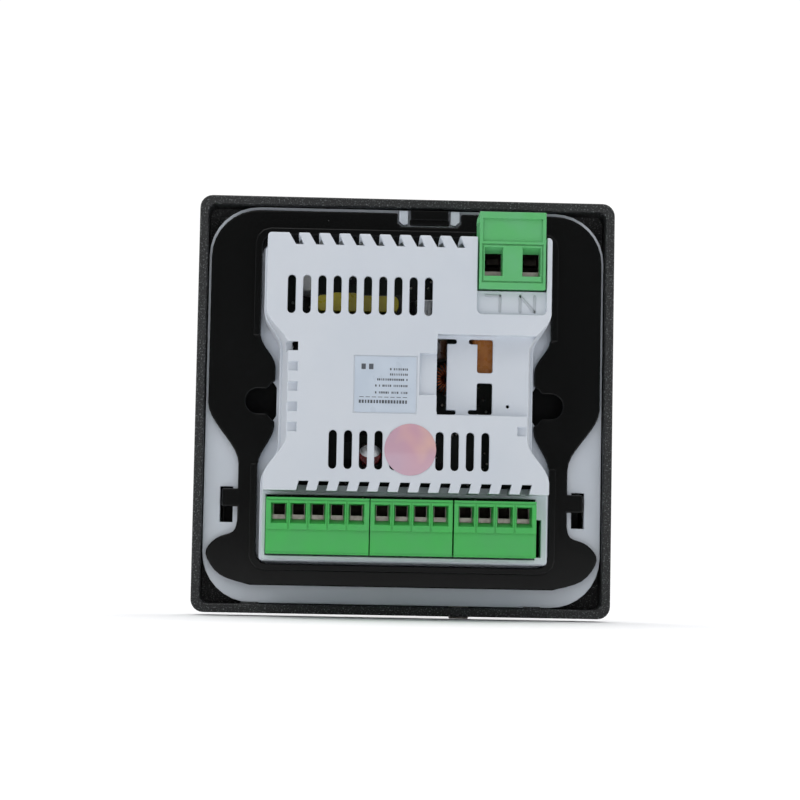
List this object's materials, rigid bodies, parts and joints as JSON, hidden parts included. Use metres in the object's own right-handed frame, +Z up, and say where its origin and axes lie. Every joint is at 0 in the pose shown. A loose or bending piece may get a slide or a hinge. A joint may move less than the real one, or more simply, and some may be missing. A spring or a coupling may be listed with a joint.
{
  "type": "wall thermostat",
  "caption": "Square flush wall thermostat panel with a black frame, white vented rear housing, pluggable green terminal blocks and a clip-on wall bracket.",
  "frame": {"origin": "middle of the 86 mm square, on the plane where the frame rim meets the wall", "axes": "+Z up, +Y into the wall (the rear housing and terminals), -Y into the room (the front glass), +X to the left when seen from behind"},
  "size_m": [0.086, 0.0302, 0.0865],
  "materials": {
    "front_glass": "black back-printed touch glass",
    "screen": "switched-off screen",
    "frame_plastic": "fine spark-eroded texture",
    "bracket_plastic": "glossy moulded",
    "white_plastic": "satin moulded",
    "green_plastic": "moulded terminal green",
    "circuit_board": "solder mask",
    "metal": "zinc plated",
    "ferrite": "sintered",
    "yellow_tape": "polyester tape",
    "white_disc": "coated disc",
    "bare_can": "drawn can",
    "red_sleeve": "shrunk sleeve",
    "amber_film": "dipped resin",
    "copper_wire": "enamelled copper wire"
  },
  "bodies": {
    "bracket": {"wall_bracket": "bracket_plastic"},
    "latch": {"latch_tongue": "bracket_plastic"},
    "unit": {"front_glass": "front_glass", "display_panel": "screen", "bezel_frame": "frame_plastic", "main_board": "circuit_board", "back_plate": "white_plastic", "rear_cover": "white_plastic", "power_board": "circuit_board", "transformer_core": "ferrite", "transformer_winding": "yellow_tape", "disc_varistor": "white_disc", "bulk_capacitor": "bare_can", "output_capacitor": "red_sleeve", "film_capacitor": "amber_film", "choke_coil": "copper_wire", "header_five_way": "green_plastic", "header_four_way_inner": "green_plastic", "header_four_way_outer": "green_plastic", "header_mains": "green_plastic"},
    "reset": {"reset_button": "metal"},
    "plug_five_way": {"plug_five_way": "green_plastic"},
    "screw_five_way_1": {"screw_five_way_1": "metal"},
    "clamp_five_way_1": {"clamp_five_way_1": "metal"},
    "screw_five_way_2": {"screw_five_way_2": "metal"},
    "clamp_five_way_2": {"clamp_five_way_2": "metal"},
    "screw_five_way_3": {"screw_five_way_3": "metal"},
    "clamp_five_way_3": {"clamp_five_way_3": "metal"},
    "screw_five_way_4": {"screw_five_way_4": "metal"},
    "clamp_five_way_4": {"clamp_five_way_4": "metal"},
    "screw_five_way_5": {"screw_five_way_5": "metal"},
    "clamp_five_way_5": {"clamp_five_way_5": "metal"},
    "plug_four_way_inner": {"plug_four_way_inner": "green_plastic"},
    "screw_four_way_inner_1": {"screw_four_way_inner_1": "metal"},
    "clamp_four_way_inner_1": {"clamp_four_way_inner_1": "metal"},
    "screw_four_way_inner_2": {"screw_four_way_inner_2": "metal"},
    "clamp_four_way_inner_2": {"clamp_four_way_inner_2": "metal"},
    "screw_four_way_inner_3": {"screw_four_way_inner_3": "metal"},
    "clamp_four_way_inner_3": {"clamp_four_way_inner_3": "metal"},
    "screw_four_way_inner_4": {"screw_four_way_inner_4": "metal"},
    "clamp_four_way_inner_4": {"clamp_four_way_inner_4": "metal"},
    "plug_four_way_outer": {"plug_four_way_outer": "green_plastic"},
    "screw_four_way_outer_1": {"screw_four_way_outer_1": "metal"},
    "clamp_four_way_outer_1": {"clamp_four_way_outer_1": "metal"},
    "screw_four_way_outer_2": {"screw_four_way_outer_2": "metal"},
    "clamp_four_way_outer_2": {"clamp_four_way_outer_2": "metal"},
    "screw_four_way_outer_3": {"screw_four_way_outer_3": "metal"},
    "clamp_four_way_outer_3": {"clamp_four_way_outer_3": "metal"},
    "screw_four_way_outer_4": {"screw_four_way_outer_4": "metal"},
    "clamp_four_way_outer_4": {"clamp_four_way_outer_4": "metal"},
    "plug_mains": {"plug_mains": "green_plastic", "contact_mains_1": "metal", "contact_mains_2": "metal"},
    "screw_mains_1": {"screw_mains_1": "metal"},
    "clamp_mains_1": {"clamp_mains_1": "metal"},
    "screw_mains_2": {"screw_mains_2": "metal"},
    "clamp_mains_2": {"clamp_mains_2": "metal"}
  },
  "joints": [
    {"name": "unit_lift", "type": "slide", "parent": "bracket", "child": "unit", "axis": [0, 0, 1], "range_m": [0, 0.0016]},
    {"name": "latch_bend", "type": "hinge", "parent": "bracket", "child": "latch", "pos_m": [-0.0045, -0.0012, 0.03765], "axis": [-1, 0, 0], "range_deg": [0, 8], "stiffness_Nm_per_rad": 0.05},
    {"name": "reset_press", "type": "slide", "parent": "unit", "child": "reset", "axis": [0, 0, 1], "range_m": [0, 0.0004], "stiffness_N_per_m": 400},
    {"name": "plug_five_way_pull", "type": "slide", "parent": "unit", "child": "plug_five_way", "axis": [0, 1, 0], "range_m": [0, 0.008]},
    {"name": "screw_five_way_1_turn", "type": "hinge", "parent": "plug_five_way", "child": "screw_five_way_1", "pos_m": [0.02487, 0.0148, -0.0305], "axis": [0, 0, 1], "range_deg": [0, 1086]},
    {"name": "clamp_five_way_1_close", "type": "slide", "parent": "plug_five_way", "child": "clamp_five_way_1", "axis": [0, 0, -1], "range_m": [0, 0.0012]},
    {"name": "screw_five_way_2_turn", "type": "hinge", "parent": "plug_five_way", "child": "screw_five_way_2", "pos_m": [0.02106, 0.0148, -0.0305], "axis": [0, 0, 1], "range_deg": [0, 1086]},
    {"name": "clamp_five_way_2_close", "type": "slide", "parent": "plug_five_way", "child": "clamp_five_way_2", "axis": [0, 0, -1], "range_m": [0, 0.0012]},
    {"name": "screw_five_way_3_turn", "type": "hinge", "parent": "plug_five_way", "child": "screw_five_way_3", "pos_m": [0.01725, 0.0148, -0.0305], "axis": [0, 0, 1], "range_deg": [0, 1086]},
    {"name": "clamp_five_way_3_close", "type": "slide", "parent": "plug_five_way", "child": "clamp_five_way_3", "axis": [0, 0, -1], "range_m": [0, 0.0012]},
    {"name": "screw_five_way_4_turn", "type": "hinge", "parent": "plug_five_way", "child": "screw_five_way_4", "pos_m": [0.01344, 0.0148, -0.0305], "axis": [0, 0, 1], "range_deg": [0, 1086]},
    {"name": "clamp_five_way_4_close", "type": "slide", "parent": "plug_five_way", "child": "clamp_five_way_4", "axis": [0, 0, -1], "range_m": [0, 0.0012]},
    {"name": "screw_five_way_5_turn", "type": "hinge", "parent": "plug_five_way", "child": "screw_five_way_5", "pos_m": [0.00963, 0.0148, -0.0305], "axis": [0, 0, 1], "range_deg": [0, 1086]},
    {"name": "clamp_five_way_5_close", "type": "slide", "parent": "plug_five_way", "child": "clamp_five_way_5", "axis": [0, 0, -1], "range_m": [0, 0.0012]},
    {"name": "plug_four_way_inner_pull", "type": "slide", "parent": "unit", "child": "plug_four_way_inner", "axis": [0, 1, 0], "range_m": [0, 0.008]},
    {"name": "screw_four_way_inner_1_turn", "type": "hinge", "parent": "plug_four_way_inner", "child": "screw_four_way_inner_1", "pos_m": [0.00451, 0.0148, -0.0305], "axis": [0, 0, 1], "range_deg": [0, 1086]},
    {"name": "clamp_four_way_inner_1_close", "type": "slide", "parent": "plug_four_way_inner", "child": "clamp_four_way_inner_1", "axis": [0, 0, -1], "range_m": [0, 0.0012]},
    {"name": "screw_four_way_inner_2_turn", "type": "hinge", "parent": "plug_four_way_inner", "child": "screw_four_way_inner_2", "pos_m": [0.00071, 0.0148, -0.0305], "axis": [0, 0, 1], "range_deg": [0, 1086]},
    {"name": "clamp_four_way_inner_2_close", "type": "slide", "parent": "plug_four_way_inner", "child": "clamp_four_way_inner_2", "axis": [0, 0, -1], "range_m": [0, 0.0012]},
    {"name": "screw_four_way_inner_3_turn", "type": "hinge", "parent": "plug_four_way_inner", "child": "screw_four_way_inner_3", "pos_m": [-0.00311, 0.0148, -0.0305], "axis": [0, 0, 1], "range_deg": [0, 1086]},
    {"name": "clamp_four_way_inner_3_close", "type": "slide", "parent": "plug_four_way_inner", "child": "clamp_four_way_inner_3", "axis": [0, 0, -1], "range_m": [0, 0.0012]},
    {"name": "screw_four_way_inner_4_turn", "type": "hinge", "parent": "plug_four_way_inner", "child": "screw_four_way_inner_4", "pos_m": [-0.00692, 0.0148, -0.0305], "axis": [0, 0, 1], "range_deg": [0, 1086]},
    {"name": "clamp_four_way_inner_4_close", "type": "slide", "parent": "plug_four_way_inner", "child": "clamp_four_way_inner_4", "axis": [0, 0, -1], "range_m": [0, 0.0012]},
    {"name": "plug_four_way_outer_pull", "type": "slide", "parent": "unit", "child": "plug_four_way_outer", "axis": [0, 1, 0], "range_m": [0, 0.008]},
    {"name": "screw_four_way_outer_1_turn", "type": "hinge", "parent": "plug_four_way_outer", "child": "screw_four_way_outer_1", "pos_m": [-0.01199, 0.0148, -0.0305], "axis": [0, 0, 1], "range_deg": [0, 1086]},
    {"name": "clamp_four_way_outer_1_close", "type": "slide", "parent": "plug_four_way_outer", "child": "clamp_four_way_outer_1", "axis": [0, 0, -1], "range_m": [0, 0.0012]},
    {"name": "screw_four_way_outer_2_turn", "type": "hinge", "parent": "plug_four_way_outer", "child": "screw_four_way_outer_2", "pos_m": [-0.0158, 0.0148, -0.0305], "axis": [0, 0, 1], "range_deg": [0, 1086]},
    {"name": "clamp_four_way_outer_2_close", "type": "slide", "parent": "plug_four_way_outer", "child": "clamp_four_way_outer_2", "axis": [0, 0, -1], "range_m": [0, 0.0012]},
    {"name": "screw_four_way_outer_3_turn", "type": "hinge", "parent": "plug_four_way_outer", "child": "screw_four_way_outer_3", "pos_m": [-0.01961, 0.0148, -0.0305], "axis": [0, 0, 1], "range_deg": [0, 1086]},
    {"name": "clamp_four_way_outer_3_close", "type": "slide", "parent": "plug_four_way_outer", "child": "clamp_four_way_outer_3", "axis": [0, 0, -1], "range_m": [0, 0.0012]},
    {"name": "screw_four_way_outer_4_turn", "type": "hinge", "parent": "plug_four_way_outer", "child": "screw_four_way_outer_4", "pos_m": [-0.02341, 0.0148, -0.0305], "axis": [0, 0, 1], "range_deg": [0, 1086]},
    {"name": "clamp_four_way_outer_4_close", "type": "slide", "parent": "plug_four_way_outer", "child": "clamp_four_way_outer_4", "axis": [0, 0, -1], "range_m": [0, 0.0012]},
    {"name": "plug_mains_pull", "type": "slide", "parent": "unit", "child": "plug_mains", "axis": [0, 1, 0], "range_m": [0, 0.008]},
    {"name": "screw_mains_1_turn", "type": "hinge", "parent": "plug_mains", "child": "screw_mains_1", "pos_m": [-0.01655, 0.0151, 0.0374], "axis": [0, 0, -1], "range_deg": [0, 870]},
    {"name": "clamp_mains_1_close", "type": "slide", "parent": "plug_mains", "child": "clamp_mains_1", "axis": [0, 0, 1], "range_m": [0, 0.0012]},
    {"name": "screw_mains_2_turn", "type": "hinge", "parent": "plug_mains", "child": "screw_mains_2", "pos_m": [-0.02405, 0.0151, 0.0374], "axis": [0, 0, -1], "range_deg": [0, 870]},
    {"name": "clamp_mains_2_close", "type": "slide", "parent": "plug_mains", "child": "clamp_mains_2", "axis": [0, 0, 1], "range_m": [0, 0.0012]}
  ],
  "couplings": [
    {"joint": "screw_five_way_1_turn", "follows": "clamp_five_way_1_close", "rad_per_m": 15708},
    {"joint": "screw_five_way_2_turn", "follows": "clamp_five_way_2_close", "rad_per_m": 15708},
    {"joint": "screw_five_way_3_turn", "follows": "clamp_five_way_3_close", "rad_per_m": 15708},
    {"joint": "screw_five_way_4_turn", "follows": "clamp_five_way_4_close", "rad_per_m": 15708},
    {"joint": "screw_five_way_5_turn", "follows": "clamp_five_way_5_close", "rad_per_m": 15708},
    {"joint": "screw_four_way_inner_1_turn", "follows": "clamp_four_way_inner_1_close", "rad_per_m": 15708},
    {"joint": "screw_four_way_inner_2_turn", "follows": "clamp_four_way_inner_2_close", "rad_per_m": 15708},
    {"joint": "screw_four_way_inner_3_turn", "follows": "clamp_four_way_inner_3_close", "rad_per_m": 15708},
    {"joint": "screw_four_way_inner_4_turn", "follows": "clamp_four_way_inner_4_close", "rad_per_m": 15708},
    {"joint": "screw_four_way_outer_1_turn", "follows": "clamp_four_way_outer_1_close", "rad_per_m": 15708},
    {"joint": "screw_four_way_outer_2_turn", "follows": "clamp_four_way_outer_2_close", "rad_per_m": 15708},
    {"joint": "screw_four_way_outer_3_turn", "follows": "clamp_four_way_outer_3_close", "rad_per_m": 15708},
    {"joint": "screw_four_way_outer_4_turn", "follows": "clamp_four_way_outer_4_close", "rad_per_m": 15708},
    {"joint": "screw_mains_1_turn", "follows": "clamp_mains_1_close", "rad_per_m": 12566},
    {"joint": "screw_mains_2_turn", "follows": "clamp_mains_2_close", "rad_per_m": 12566}
  ]
}
